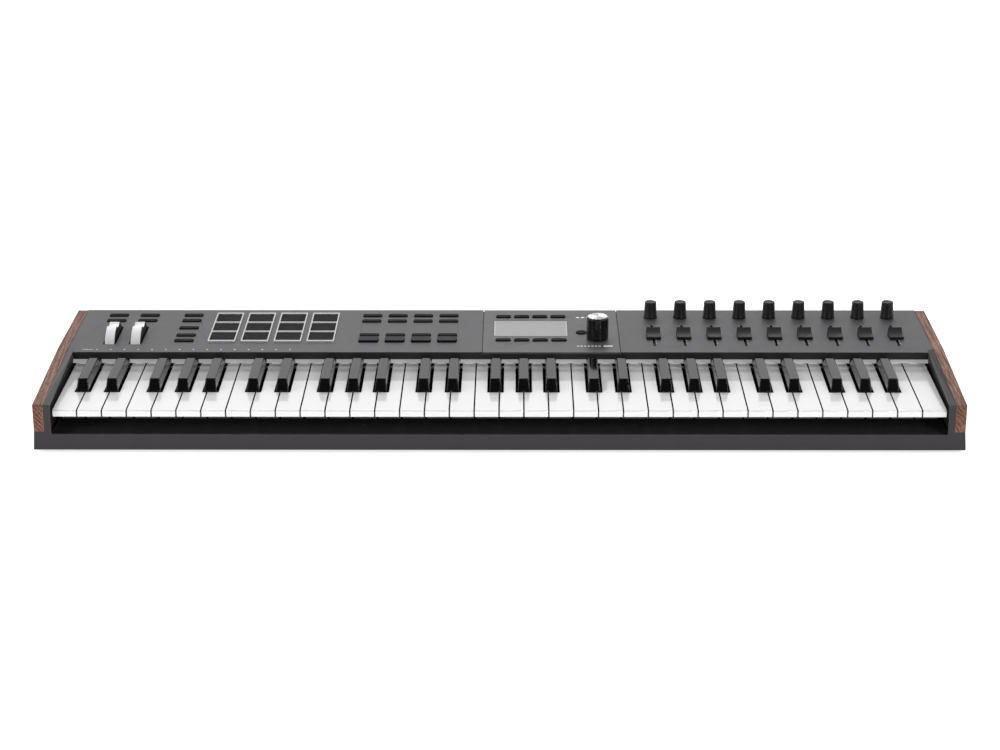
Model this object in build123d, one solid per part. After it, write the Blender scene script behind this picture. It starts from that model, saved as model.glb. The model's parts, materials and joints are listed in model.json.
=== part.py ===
from build123d import *
import math
import os

# A 61-key synthesizer keyboard with pads, knobs, faders and a display.
# Frame: +X to the player's right, +Y to the rear, +Z up. The origin is on the table,
# under the middle of the case. All sizes are millimetres.

# ---- Case
WIDTH = 880.0                                 # over the wood cheeks
BASE_WIDTH = 883.0                            # the base flares out a little towards the table
DEPTH = 254.0
FRONT = -DEPTH / 2
REAR = DEPTH / 2
FOOT_HEIGHT = 3.0
FLOOR = 2.5                                   # thickness of the tray's floor and walls
FLOOR_TOP = FOOT_HEIGHT + FLOOR
LIP_TOP = 19.0                                # front lip, in front of the keys
SIDE_LEDGE = 22.2                             # the wood cheeks stand on this ledge
CHEEK_THICKNESS = 9.7
CHEEK_INNER = WIDTH / 2 - CHEEK_THICKNESS     # inner face of the wood
ARM_WIDTH = 6.55                              # metal strip along the top of each side wall
ARM_INNER = CHEEK_INNER - ARM_WIDTH
WALL_RECESS = 2.2                             # the side wall sits this far under the strip

# ---- Top shell
PANEL_TOP = 56.8
SHEET = 2.0
PANEL_UNDER = PANEL_TOP - SHEET
PANEL_FRONT = -2.3
FLANGE_BOTTOM = 49.3
SLOPE_START = 7.0                             # the sides slope down from here to the front
CHEEK_FRONT_TOP = 48.9
WOOD_PROUD = 0.5                              # the wood stands this far above the metal

# ---- Centre bezel and display
BEZEL_LEFT, BEZEL_RIGHT = -17.8, 120.0
BEZEL_THICKNESS = 4.0
BEZEL_UNDER = PANEL_TOP - BEZEL_THICKNESS
SEAM = 0.6
DISPLAY_X, DISPLAY_Y = 30.8, 68.75
DISPLAY_WIDTH, DISPLAY_DEPTH = 74.4, 44.5
WINDOW_THICKNESS = 1.5

# ---- Keyboard
WHITE_COUNT = 36
OCTAVE = 164.5
WHITE_PITCH = OCTAVE / 7
KEY_GAP = 1.4
KEYS_LEFT = -WHITE_COUNT * WHITE_PITCH / 2
KEY_FRONT = -121.4
HEAD_BACK = -74.0                             # the wide heads of the white keys end here
KEY_BACK = 7.0
WHITE_TOP = 41.6
WHITE_SKIRT = 6.5
KEY_WALL = 1.8
KEY_ROOF = 2.2
CAVITY_BACK = -4.0                            # the hollow under each key ends here
NOTCH = 16.0                                  # room between white tails for a black key
BLACK_TOP = WHITE_TOP + 12.0
BLACK_FOOT_WIDTH, BLACK_TOP_WIDTH = 12.4, 9.4
BLACK_FRONT = HEAD_BACK + KEY_GAP
BLACK_FRONT_TOP = -67.2
BLACK_BACK_TOP = -8.7
BLACK_TAIL_TOP = 47.5
BLACK_TAIL_BACK = 5.0
BLACK_SKIRT_BOTTOM = 33.0
# Distance of each black key from the edge between its two white neighbours, by white step.
BLACK_OFFSET = {0: -2.6, 1: 2.1, 3: -3.8, 4: 0.0, 5: 3.2}
WHITE_NAMES = ["c", "d", "e", "f", "g", "a", "b"]
BLACK_NAMES = {0: "c_sharp", 1: "d_sharp", 3: "f_sharp", 4: "g_sharp", 5: "a_sharp"}

# ---- Key action
HINGE_Y, HINGE_Z = 10.0, 36.0
ROD_RADIUS = 1.5
RUNNING = 0.05                                # radial running clearance
HINGE_BLOCK_WIDTH = 8.0
HINGE_BLOCK_BACK = 12.8
DECK_BOTTOM, DECK_TOP = 14.5, 17.0
DECK_FRONT, DECK_BACK = -118.0, 15.2
REAR_WALL = 1.9
RAIL_BOTTOM = 42.0
RAIL_EDGE = 0.6                               # thickness of its front edge
RAIL_SLOPE = 4.2                              # its face rises this far at 45 degrees
RAIL_LAP = 0.6                                # the rail covers the ends of the white keys
TONGUE_Y = -60.5                              # up-stop tongue under each key
TONGUE_WIDTH, TONGUE_DEPTH = 5.0, 3.0
TONGUE_FOOT = 2.5                             # its foot reaches this far forward under the deck
TONGUE_PLAY = 0.5                             # room in front of the tongue
TONGUE_SWING = 3.2                            # room behind it for the swing of a pressed key
PLUNGER_Y = -35.0
PLUNGER_BOTTOM = 31.6
CONTACT_BOARD = 1.6
DOME_TOP = 28.0
STOP_Y, STOP_TOP = -78.0, 28.2                # the white keys bottom out over this bar
LUG_THICKNESS = 2.0

# ---- Boards and controls under the panel
BOARD_BOTTOM = 44.0
BOARD_TOP = 45.6
CAP_HEIGHT = 1.2                              # button caps stand this far above the panel
BUTTON_PLAY = 0.25
BUTTON_RADIUS = 1.8
BUTTON_SIZE = (19.2, 7.0)
DISPLAY_BUTTON_SIZE = (15.1, 6.8)
LARGE_BUTTON_SIZE = (19.4, 12.5)
LARGE_BUTTON_HEIGHT = 2.2
SELECT_BUTTON = (82.0, 56.0)
SELECT_BUTTON_RADIUS = 5.2

LEFT_BUTTONS = [(x, y) for x in (-395.0, -363.0) for y in (108.8, 92.0)]
LEFT_BUTTONS += [(-317.6, y) for y in (108.8, 92.0, 69.3, 47.1, 30.9)]
FUNCTION_COLUMNS = [-132.3, -106.0, -79.7, -53.4]
FUNCTION_BUTTONS = [(x, y) for x in FUNCTION_COLUMNS for y in (107.6, 90.6, 47.8)]
LARGE_BUTTONS = [(x, 33.2) for x in FUNCTION_COLUMNS]
DISPLAY_BUTTONS = [(3.0 + 18.7 * i, y) for i in range(4) for y in (105.1, 33.2)]

PAD_COLUMNS = [-279.6 + 33.05 * i for i in range(4)]
PAD_ROWS = [42.05 + 28.0 * i for i in range(3)]
PAD_SIZE = (24.9, 25.3)
PAD_FRAME_SIZE = (27.4, 86.9)
PAD_FRAME_HEIGHT = 1.6
PAD_HEIGHT = 0.8                              # the pads sit a little below their frames
PAD_PLAY = 0.15

STRIP_COUNT = 9
STRIP_X = [154.4 + 30.46 * i for i in range(STRIP_COUNT)]
KNOB_Y = 103.5
KNOB_BASE_RADIUS, KNOB_TOP_RADIUS = 7.0, 6.0
KNOB_HEIGHT = 17.4
KNOB_GAP = 0.3
FADER_Y = 43.0                                # the caps rest a little in front of mid travel
FADER_SLOT = (16.6, 79.0)
FADER_SLOT_WIDTH = 2.4
FADER_CAP = (15.2, 17.0, 8.0)
FADER_FRONT_HEIGHT = 2.4
FADER_BODY = (15.9, 86.0)
FADER_BLADE = (1.6, 6.0)                      # stem of the cap, through the slot

ENCODER_X, ENCODER_Y = 97.7, 37.9
ENCODER_RADIUS = 11.0
ENCODER_TOP = PANEL_TOP + 24.0
ENCODER_GROOVE = 12.2                         # height of the ring groove above the panel
SHAFT_RADIUS = 3.0

WHEEL_X = {"pitch_wheel": -391.1, "mod_wheel": -365.3}
WHEEL_Y, WHEEL_Z = 47.6, 37.35
WHEEL_RADIUS = 31.95
WHEEL_WIDTH = 9.7
WHEEL_CUT = 14.0                              # the wheel is cut flat this far below its axle
WHEEL_SLOT = (12.6, 53.6)
NOTCH_RADIUS, NOTCH_DEPTH = 14.0, 4.0         # finger notch in the rim
NOTCH_LEAN_DEG = 4.2                          # it leans this far to the rear
BRACKET_PLATE = 2.0

# ---- Rear connectors
SOCKET_Z = 30.0
JACK_X = [-262.0, -236.0, -210.0]
JACK_BORE = 3.25
JACK_NOSE = 5.5
DIN_X = [-322.0, -292.0]
DIN_RECESS = 6.6
DIN_NOSE = 7.6
DIN_DEPTH = 9.0
USB_X = -352.0
USB_SIZE = (9.0, 3.2)

# ---- Fasteners and feet
SCREW_PLACES = [(x, y) for x in (-390.0, -130.0, 130.0, 390.0) for y in (-95.0, -10.0)]
SCREW_RADIUS = 1.25
SCREW_HEAD_RADIUS = 2.8
FOOT_PLACES = [(x, y) for x in (-405.0, 0.0, 405.0) for y in (-104.0, 104.0)]
FOOT_RADIUS = 9.0


# ---------------------------------------------------------------- helpers
def block(x0, x1, y0, y1, z0, z1):
    """Box given by its limits along the three axes."""
    centre = Pos((x0 + x1) / 2, (y0 + y1) / 2, (z0 + z1) / 2)
    return centre * Box(x1 - x0, y1 - y0, z1 - z0)


def upright(x, y, z0, z1, radius):
    """Cylinder along Z."""
    return Pos(x, y, (z0 + z1) / 2) * Cylinder(radius, z1 - z0)


def along_x(x0, x1, y, z, radius):
    """Cylinder along X."""
    return Pos((x0 + x1) / 2, y, z) * Rot(0, 90, 0) * Cylinder(radius, x1 - x0)


def along_y(x, y0, y1, z, radius):
    """Cylinder along Y."""
    return Pos(x, (y0 + y1) / 2, z) * Rot(90, 0, 0) * Cylinder(radius, y1 - y0)


def rounded(x, y, z0, z1, size, radius):
    """Upright prism with a rounded-rectangle outline."""
    return Pos(x, y, z0) * extrude(RectangleRounded(size[0], size[1], radius), z1 - z0)


def side_profile(points, x0, x1):
    """Prism along X from an outline given as (y, z) points."""
    face = Plane.YZ.offset(x0) * make_face(Polyline(*points, close=True))
    return extrude(face, x1 - x0)


def grown(size, play):
    """Outline size with the same play added on every side."""
    return (size[0] + 2 * play, size[1] + 2 * play)


def group(pieces):
    """Separate solids that share one node."""
    return Compound(children=[Part(piece.wrapped) for piece in pieces])


# ---------------------------------------------------------------- key layout
def tail_limits(step, top_key=False):
    """Left and right edge of a white key's tail, measured from the key's left edge."""
    below = (step - 1) % 7
    left = KEY_GAP / 2
    if below in BLACK_OFFSET:
        left = BLACK_OFFSET[below] + NOTCH / 2
    right = WHITE_PITCH - KEY_GAP / 2
    if step in BLACK_OFFSET and not top_key:
        right = WHITE_PITCH + BLACK_OFFSET[step] - NOTCH / 2
    return left, right


def white_places():
    """(step in the octave, left edge, tail centre) of every white key."""
    places = []
    for index in range(WHITE_COUNT):
        step = index % 7
        left_edge = KEYS_LEFT + index * WHITE_PITCH
        tail = tail_limits(step, index == WHITE_COUNT - 1)
        places.append((step, left_edge, left_edge + sum(tail) / 2))
    return places


def black_places():
    """(step of the white key on its left, centre) of every black key."""
    places = []
    for index in range(WHITE_COUNT - 1):
        step = index % 7
        if step in BLACK_OFFSET:
            edge = KEYS_LEFT + (index + 1) * WHITE_PITCH
            places.append((step, edge + BLACK_OFFSET[step]))
    return places


def lever_centres():
    """Centre of every key's hinge, from left to right."""
    whites = [centre for step, left_edge, centre in white_places()]
    blacks = [centre for step, centre in black_places()]
    return sorted(whites + blacks)


# ---------------------------------------------------------------- case
def base_tray():
    """Open tray with flared sides, a low front lip, a rear wall and two side walls."""
    foot, ledge = BASE_WIDTH / 2, WIDTH / 2
    outline = Polyline((-foot, FOOT_HEIGHT), (foot, FOOT_HEIGHT), (ledge, SIDE_LEDGE),
                       (-ledge, SIDE_LEDGE), close=True)
    tray = extrude(Plane.XZ.offset(-REAR) * make_face(outline), DEPTH)
    tray = fillet(tray.edges().group_by(Axis.Z)[0], 1.5)
    inner_wall = ARM_INNER + WALL_RECESS
    side = WIDTH / 2 - FLOOR
    ledge_under = SIDE_LEDGE - FLOOR
    tray -= block(-side, side, FRONT + FLOOR, REAR - FLOOR, FLOOR_TOP, ledge_under)
    tray -= block(-inner_wall, inner_wall, FRONT + FLOOR, REAR - FLOOR, ledge_under, SIDE_LEDGE + 1)
    tray -= block(-ARM_INNER, ARM_INNER, FRONT - 1, FRONT + FLOOR + 1, LIP_TOP, SIDE_LEDGE + 1)
    tray += block(-CHEEK_INNER, CHEEK_INNER, REAR - FLOOR, REAR, SIDE_LEDGE, PANEL_UNDER)
    wall_outline = [
        (FRONT, SIDE_LEDGE),
        (FRONT, CHEEK_FRONT_TOP - SHEET),
        (SLOPE_START, PANEL_UNDER),
        (REAR, PANEL_UNDER),
        (REAR, SIDE_LEDGE),
    ]
    for mirror in (-1, 1):
        near, far = sorted((mirror * inner_wall, mirror * CHEEK_INNER))
        tray += side_profile(wall_outline, near, far)
        near, far = sorted((mirror * ARM_INNER, mirror * CHEEK_INNER))
        tray += block(near, far, FRONT, FRONT + FLOOR, LIP_TOP - 1, CHEEK_FRONT_TOP - SHEET)
    for x, y in SCREW_PLACES:
        tray += upright(x, y, FLOOR_TOP, DECK_BOTTOM, 4.0)
    for x, y in SCREW_PLACES:
        tray -= upright(x, y, FOOT_HEIGHT - 1, DECK_BOTTOM + 1, SCREW_RADIUS + 0.4)
        tray -= upright(x, y, FOOT_HEIGHT - 1, FOOT_HEIGHT + 1.8, SCREW_HEAD_RADIUS + 0.4)
    for x in JACK_X:
        tray -= along_y(x, REAR - FLOOR - 1, REAR + 1, SOCKET_Z, JACK_NOSE + 0.1)
    for x in DIN_X:
        tray -= along_y(x, REAR - FLOOR - 1, REAR + 1, SOCKET_Z, DIN_NOSE + 0.1)
    usb_hole = extrude(RectangleRounded(*grown(USB_SIZE, 0.7), 1.8), FLOOR + 2)
    tray -= Pos(USB_X, REAR + 1, SOCKET_Z) * Rot(90, 0, 0) * usb_hole
    return tray


def panel_openings():
    """Every opening of the main panel, as one flat sketch."""
    holes = Sketch()
    for place in LEFT_BUTTONS + FUNCTION_BUTTONS:
        holes += Pos(*place) * RectangleRounded(*grown(BUTTON_SIZE, BUTTON_PLAY), BUTTON_RADIUS)
    for place in LARGE_BUTTONS:
        holes += Pos(*place) * RectangleRounded(*grown(LARGE_BUTTON_SIZE, BUTTON_PLAY), BUTTON_RADIUS)
    frame_y = PAD_ROWS[1]
    for x in PAD_COLUMNS:
        holes += Pos(x, frame_y) * Rectangle(*grown(PAD_FRAME_SIZE, 0.1))
    for x in WHEEL_X.values():
        holes += Pos(x, WHEEL_Y) * RectangleRounded(*WHEEL_SLOT, 1.2)
    slot_length = FADER_SLOT[1] - FADER_SLOT[0]
    slot_middle = sum(FADER_SLOT) / 2
    for x in STRIP_X:
        holes += Pos(x, slot_middle) * Rot(0, 0, 90) * SlotOverall(slot_length, FADER_SLOT_WIDTH)
        holes += Pos(x, KNOB_Y) * Circle(3.7)
    return holes


def top_panel():
    plate = Pos(0, (PANEL_FRONT + REAR) / 2) * Rectangle(2 * CHEEK_INNER, REAR - PANEL_FRONT)
    shell = Pos(0, 0, PANEL_UNDER) * extrude(plate - panel_openings(), SHEET)
    shell += block(-ARM_INNER, ARM_INNER, PANEL_FRONT, PANEL_FRONT + SHEET, FLANGE_BOTTOM, PANEL_TOP)
    shell -= block(BEZEL_LEFT, BEZEL_RIGHT, PANEL_FRONT - 1, REAR + 1, PANEL_UNDER, PANEL_TOP + 1)
    # The strips over the side walls follow the slope of the cheeks.
    for mirror in (-1, 1):
        near, far = sorted((mirror * ARM_INNER, mirror * CHEEK_INNER))
        shell -= block(near, far, PANEL_FRONT - 1, SLOPE_START, PANEL_UNDER - 1, PANEL_TOP + 1)
        arm_outline = [
            (FRONT, CHEEK_FRONT_TOP - SHEET),
            (FRONT, CHEEK_FRONT_TOP),
            (SLOPE_START, PANEL_TOP),
            (SLOPE_START, PANEL_UNDER),
        ]
        shell += side_profile(arm_outline, near, far)
    return shell


def center_bezel():
    left, right = BEZEL_LEFT + SEAM, BEZEL_RIGHT - SEAM
    under = 3.0                               # the rim reaches this far under the panel
    bezel = block(left, right, PANEL_FRONT, REAR, PANEL_UNDER, PANEL_TOP)
    rim_front = PANEL_FRONT + SHEET
    bezel += block(left - under, right + under, rim_front, REAR - FLOOR, BEZEL_UNDER, PANEL_UNDER)
    window_under = PANEL_TOP - WINDOW_THICKNESS
    bezel -= Pos(DISPLAY_X, DISPLAY_Y, 0) * block(
        -DISPLAY_WIDTH / 2, DISPLAY_WIDTH / 2, -DISPLAY_DEPTH / 2, DISPLAY_DEPTH / 2,
        window_under, PANEL_TOP + 1)
    bezel -= Pos(DISPLAY_X, DISPLAY_Y, 0) * block(
        -DISPLAY_WIDTH / 2 + 2, DISPLAY_WIDTH / 2 - 2, -DISPLAY_DEPTH / 2 + 2, DISPLAY_DEPTH / 2 - 2,
        BEZEL_UNDER - 1, PANEL_TOP)
    holes = Sketch()
    for place in DISPLAY_BUTTONS:
        holes += Pos(*place) * RectangleRounded(*grown(DISPLAY_BUTTON_SIZE, BUTTON_PLAY), 2.6)
    holes += Pos(*SELECT_BUTTON) * Circle(SELECT_BUTTON_RADIUS + BUTTON_PLAY)
    holes += Pos(ENCODER_X, ENCODER_Y) * Circle(4.7)
    bezel -= Pos(0, 0, BEZEL_UNDER - 1) * extrude(holes, BEZEL_THICKNESS + 2)
    return bezel


def wood_cheek(mirror):
    """Side board: flat at the rear, sloping to the front, with rounded rear corner."""
    top = PANEL_TOP + WOOD_PROUD
    outline = [
        (FRONT, SIDE_LEDGE),
        (FRONT, CHEEK_FRONT_TOP),
        (SLOPE_START, top),
        (REAR, top),
        (REAR, SIDE_LEDGE),
    ]
    near, far = sorted((mirror * CHEEK_INNER, mirror * WIDTH / 2))
    board = side_profile(outline, near, far)
    long_edges = board.edges().filter_by(Axis.X)
    board = fillet(long_edges.group_by(Axis.Y)[-1].sort_by(Axis.Z)[-1:], 3.5)
    return fillet(board.edges().filter_by(Axis.X).group_by(Axis.Y)[0].sort_by(Axis.Z)[-1:], 1.0)


def rubber_feet():
    return group([upright(x, y, 0, FOOT_HEIGHT, FOOT_RADIUS) for x, y in FOOT_PLACES])


def case_screws():
    """Screws from below: tray boss into the key deck."""
    head_top = FOOT_HEIGHT + 1.8
    screws = []
    for x, y in SCREW_PLACES:
        screw = upright(x, y, FOOT_HEIGHT + 0.2, head_top, SCREW_HEAD_RADIUS)
        screw += upright(x, y, head_top, DECK_TOP - 0.2, SCREW_RADIUS)
        screw -= block(x - 1.8, x + 1.8, y - 0.4, y + 0.4, FOOT_HEIGHT, FOOT_HEIGHT + 1.0)
        screw -= block(x - 0.4, x + 0.4, y - 1.8, y + 1.8, FOOT_HEIGHT, FOOT_HEIGHT + 1.0)
        screws.append(screw)
    return group(screws)


# ---------------------------------------------------------------- keys
def key_lever(x):
    """What every key carries below its top: hinge block, up-stop tongue and plunger."""
    half = HINGE_BLOCK_WIDTH / 2
    lever = block(x - half, x + half, BLACK_TAIL_BACK - 1.5, HINGE_BLOCK_BACK, 32.0, WHITE_TOP - 0.4)
    lever -= along_x(x - half - 1, x + half + 1, HINGE_Y, HINGE_Z, ROD_RADIUS + RUNNING)
    left, right = x - TONGUE_WIDTH / 2, x + TONGUE_WIDTH / 2
    back = TONGUE_Y + TONGUE_DEPTH / 2
    front = TONGUE_Y - TONGUE_DEPTH / 2
    foot_top = DECK_BOTTOM - 0.4
    foot_bottom = foot_top - 2.0
    lever += block(left, right, front, back, foot_bottom, WHITE_TOP - 1)
    lever += block(left, right, front - TONGUE_FOOT, back, foot_bottom, foot_top)
    lever += block(x - 2, x + 2, PLUNGER_Y - 2.5, PLUNGER_Y + 2.5, PLUNGER_BOTTOM, WHITE_TOP - 1)
    return lever


def white_key(step, top_key=False):
    """White key with its left edge at x = 0."""
    left, right = KEY_GAP / 2, WHITE_PITCH - KEY_GAP / 2
    tail_left, tail_right = tail_limits(step, top_key)
    bottom = WHITE_TOP - WHITE_SKIRT
    key = block(left, right, KEY_FRONT, HEAD_BACK, bottom, WHITE_TOP)
    key += block(tail_left, tail_right, HEAD_BACK, KEY_BACK, bottom, WHITE_TOP)
    front_top = key.edges().filter_by(Axis.X).group_by(Axis.Y)[0].sort_by(Axis.Z)[-1:]
    key = fillet(front_top, 1.5)
    ceiling = WHITE_TOP - KEY_ROOF
    key -= block(left + KEY_WALL, right - KEY_WALL, KEY_FRONT + KEY_WALL, HEAD_BACK - KEY_WALL,
                 bottom - 1, ceiling)
    key -= block(tail_left + KEY_WALL, tail_right - KEY_WALL, HEAD_BACK - 5, CAVITY_BACK,
                 bottom - 1, ceiling)
    return key + key_lever((tail_left + tail_right) / 2)


def black_key():
    """Black key centred on x = 0: tapered cap, hollow below, on the same lever."""
    side = [
        (BLACK_FRONT, BLACK_SKIRT_BOTTOM),
        (BLACK_FRONT, WHITE_TOP + 1.0),
        (BLACK_FRONT_TOP, BLACK_TOP),
        (BLACK_BACK_TOP, BLACK_TOP),
        (BLACK_BACK_TOP + 2.2, BLACK_TAIL_TOP),
        (BLACK_TAIL_BACK, BLACK_TAIL_TOP),
        (BLACK_TAIL_BACK, BLACK_SKIRT_BOTTOM),
    ]
    half_foot, half_top = BLACK_FOOT_WIDTH / 2, BLACK_TOP_WIDTH / 2
    front = [
        (-half_foot, BLACK_SKIRT_BOTTOM),
        (-half_foot, WHITE_TOP),
        (-half_top, BLACK_TOP),
        (half_top, BLACK_TOP),
        (half_foot, WHITE_TOP),
        (half_foot, BLACK_SKIRT_BOTTOM),
    ]
    cap = side_profile(side, -half_foot, half_foot)
    front_face = Plane.XZ.offset(-BLACK_TAIL_BACK) * make_face(Polyline(*front, close=True))
    cap &= extrude(front_face, BLACK_TAIL_BACK - BLACK_FRONT)
    top_edges = cap.edges().group_by(Axis.Z)[-1]
    cap = fillet(top_edges, 0.9)
    cap -= block(-half_foot + KEY_WALL, half_foot - KEY_WALL, BLACK_FRONT + KEY_WALL, CAVITY_BACK,
                 BLACK_SKIRT_BOTTOM - 1, WHITE_TOP - KEY_ROOF)
    return cap + key_lever(0)


def key_groups():
    """Twelve nodes, one per note of the octave."""
    groups = {}
    for step, name in enumerate(WHITE_NAMES):
        places = [left for white_step, left, centre in white_places() if white_step == step]
        if step == 0:
            top_left = places.pop()
            top_key = Pos(top_left, 0, 0) * white_key(step, top_key=True)
        master = white_key(step)
        keys = [Pos(left, 0, 0) * master for left in places]
        if step == 0:
            keys.append(top_key)
        groups["keys_" + name] = group(keys)
    master = black_key()
    for step, name in BLACK_NAMES.items():
        centres = [centre for black_step, centre in black_places() if black_step == step]
        groups["keys_" + name] = group([Pos(centre, 0, 0) * master for centre in centres])
    return groups


# ---------------------------------------------------------------- key bed
def lug_places():
    """Middle of each hinge lug: at every B to C and E to F edge, and outside the top key."""
    places = []
    for octave in range(5):
        octave_left = KEYS_LEFT + octave * OCTAVE
        places += [octave_left, octave_left + 3 * WHITE_PITCH]
    top_key_left = KEYS_LEFT + 5 * OCTAVE
    return places + [top_key_left, top_key_left + WHITE_PITCH]


def keybed_frame():
    half = ARM_INNER + WALL_RECESS - 0.5
    deck = Pos(0, (DECK_FRONT + DECK_BACK) / 2) * Rectangle(2 * half, DECK_BACK - DECK_FRONT)
    # One long slot per octave for the tongues. Its front edge catches their feet.
    slot_length = OCTAVE - 6.0
    slot_front = TONGUE_Y - TONGUE_DEPTH / 2 - TONGUE_PLAY
    slot_depth = TONGUE_DEPTH + TONGUE_PLAY + TONGUE_SWING
    slot_middle = slot_front + slot_depth / 2
    for octave in range(5):
        middle = KEYS_LEFT + (octave + 0.5) * OCTAVE
        deck -= Pos(middle, slot_middle) * Rectangle(slot_length, slot_depth)
    deck -= Pos(lever_centres()[-1], slot_middle) * Rectangle(TONGUE_WIDTH + 4, slot_depth)
    for x, y in SCREW_PLACES:
        deck -= Pos(x, y) * Circle(SCREW_RADIUS + 0.02)
    frame = Pos(0, 0, DECK_BOTTOM) * extrude(deck, DECK_TOP - DECK_BOTTOM)
    frame += block(-half, half, DECK_FRONT, DECK_FRONT + 2, FLOOR_TOP, DECK_BOTTOM)
    frame += block(-half, half, DECK_BACK - REAR_WALL, DECK_BACK, FLOOR_TOP, RAIL_BOTTOM)
    frame += block(KEYS_LEFT, -KEYS_LEFT, STOP_Y - 2, STOP_Y + 2, DECK_TOP, STOP_TOP)
    lug_front = KEY_BACK + 0.4
    lug_outline = [
        (lug_front, DECK_TOP),
        (lug_front, HINGE_Z + 3.4),
        (DECK_BACK - REAR_WALL, HINGE_Z + 3.4),
        (DECK_BACK - REAR_WALL, DECK_TOP),
    ]
    for x in lug_places():
        frame += side_profile(lug_outline, x - LUG_THICKNESS / 2, x + LUG_THICKNESS / 2)
    frame -= along_x(-half, half, HINGE_Y, HINGE_Z, ROD_RADIUS + 0.02)
    return frame


def key_hinge_rod():
    lugs = lug_places()
    return along_x(lugs[0] - 2.5, lugs[-1] + 2.5, HINGE_Y, HINGE_Z, ROD_RADIUS)


def key_rear_rail():
    """Light strip over the hinge: a slanted face towards the keys and an upright back edge."""
    half = ARM_INNER + WALL_RECESS - 0.3
    front = KEY_BACK - RAIL_LAP
    slope_foot = RAIL_BOTTOM + RAIL_EDGE
    slope_top = slope_foot + RAIL_SLOPE
    outline = [
        (front, RAIL_BOTTOM),
        (front, slope_foot),
        (front + RAIL_SLOPE, slope_top),
        (DECK_BACK - 1, slope_top),
        (DECK_BACK - 1, FLANGE_BOTTOM + 1),
        (DECK_BACK, FLANGE_BOTTOM + 1),
        (DECK_BACK, RAIL_BOTTOM),
    ]
    return side_profile(outline, -half, half)


def contact_board():
    return block(KEYS_LEFT, -KEYS_LEFT, PLUNGER_Y - 9, PLUNGER_Y + 9, DECK_TOP, DECK_TOP + CONTACT_BOARD)


def contact_domes():
    base = DECK_TOP + CONTACT_BOARD
    middle = (base + DOME_TOP) / 2
    dome = Pos(0, PLUNGER_Y, middle) * Cone(4.2, 2.6, DOME_TOP - base)
    return group([Pos(x, 0, 0) * dome for x in lever_centres()])


# ---------------------------------------------------------------- controls
def button(place, size, height, under, radius=BUTTON_RADIUS):
    """Cap with a retaining flange below the panel and a stem down to its switch."""
    x, y = place
    cap = rounded(x, y, under - 2.2, PANEL_TOP + height, size, radius)
    top_edges = cap.edges().group_by(Axis.Z)[-1]
    cap = fillet(top_edges, 0.4)
    cap += rounded(x, y, under - 2.2, under - 0.4, grown(size, 1.2), radius + 1.0)
    return cap + block(x - 2, x + 2, y - 1.5, y + 1.5, BOARD_TOP + 1.0, under - 2.2)


def left_buttons():
    return group([button(place, BUTTON_SIZE, CAP_HEIGHT, PANEL_UNDER) for place in LEFT_BUTTONS])


def function_buttons():
    small = [button(place, BUTTON_SIZE, CAP_HEIGHT, PANEL_UNDER) for place in FUNCTION_BUTTONS]
    large = [button(place, LARGE_BUTTON_SIZE, LARGE_BUTTON_HEIGHT, PANEL_UNDER)
             for place in LARGE_BUTTONS]
    return group(small + large)


def display_buttons():
    caps = [button(place, DISPLAY_BUTTON_SIZE, CAP_HEIGHT, BEZEL_UNDER, 2.4) for place in DISPLAY_BUTTONS]
    x, y = SELECT_BUTTON
    flange_top = BEZEL_UNDER - 0.4
    select = upright(x, y, flange_top, PANEL_TOP + CAP_HEIGHT, SELECT_BUTTON_RADIUS)
    select = fillet(select.edges().group_by(Axis.Z)[-1], 0.5)
    select += upright(x, y, flange_top - 1.8, flange_top, SELECT_BUTTON_RADIUS + 1.2)
    select += upright(x, y, BOARD_TOP + 1.0, flange_top - 1.8, 2.0)
    return group(caps + [select])


def pad_frames():
    """One light frame round each column of three pads."""
    top = PANEL_TOP + PAD_FRAME_HEIGHT
    frames = []
    for x in PAD_COLUMNS:
        frame = rounded(x, PAD_ROWS[1], BOARD_TOP, top, PAD_FRAME_SIZE, 0.8)
        for y in PAD_ROWS:
            hole_size = grown(PAD_SIZE, PAD_PLAY)
            frame -= rounded(x, y, BOARD_TOP - 1, top + 1, hole_size, 0.9)
        frames.append(frame)
    return group(frames)


def drum_pads():
    master = rounded(0, 0, BOARD_TOP + 1.6, PANEL_TOP + PAD_HEIGHT, PAD_SIZE, 0.8)
    master = fillet(master.edges().group_by(Axis.Z)[-1], 0.6)
    return group([Pos(x, y, 0) * master for x in PAD_COLUMNS for y in PAD_ROWS])


def knob(x):
    """Tapered knob with a flared foot, on its own shaft."""
    foot = PANEL_TOP + KNOB_GAP
    top = PANEL_TOP + KNOB_HEIGHT
    outline = [
        (0, foot + 5.0),
        (4.6, foot + 5.0),
        (4.6, foot),
        (KNOB_BASE_RADIUS, foot),
        (KNOB_BASE_RADIUS - 0.3, foot + 1.6),
        (KNOB_TOP_RADIUS, top - 0.8),
        (KNOB_TOP_RADIUS - 0.8, top),
        (0, top),
    ]
    face = Plane.XZ * make_face(Polyline(*outline, close=True))
    body = revolve(face, Axis.Z)
    body += upright(0, 0, 50.0, foot + 6.0, SHAFT_RADIUS)
    return Pos(x, KNOB_Y, 0) * body


def encoder_body(x, y, size, body_top, bush_radius, bush_top):
    half = size / 2
    body = block(x - half, x + half, y - half, y + half, BOARD_TOP, body_top)
    body += upright(x, y, body_top, bush_top, bush_radius)
    return body - upright(x, y, BOARD_TOP + 1.0, bush_top + 1, SHAFT_RADIUS + RUNNING)


def knob_encoders():
    bodies = [encoder_body(x, KNOB_Y, 12.0, 54.0, 3.5, PANEL_TOP + 2.5) for x in STRIP_X]
    bodies.append(encoder_body(ENCODER_X, ENCODER_Y, 14.0, BEZEL_UNDER - 0.1, 4.5, PANEL_TOP + 3.0))
    return group(bodies)


def encoder_shaft():
    return upright(ENCODER_X, ENCODER_Y, BOARD_TOP + 1.8, ENCODER_TOP - 4.0, SHAFT_RADIUS)


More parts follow.
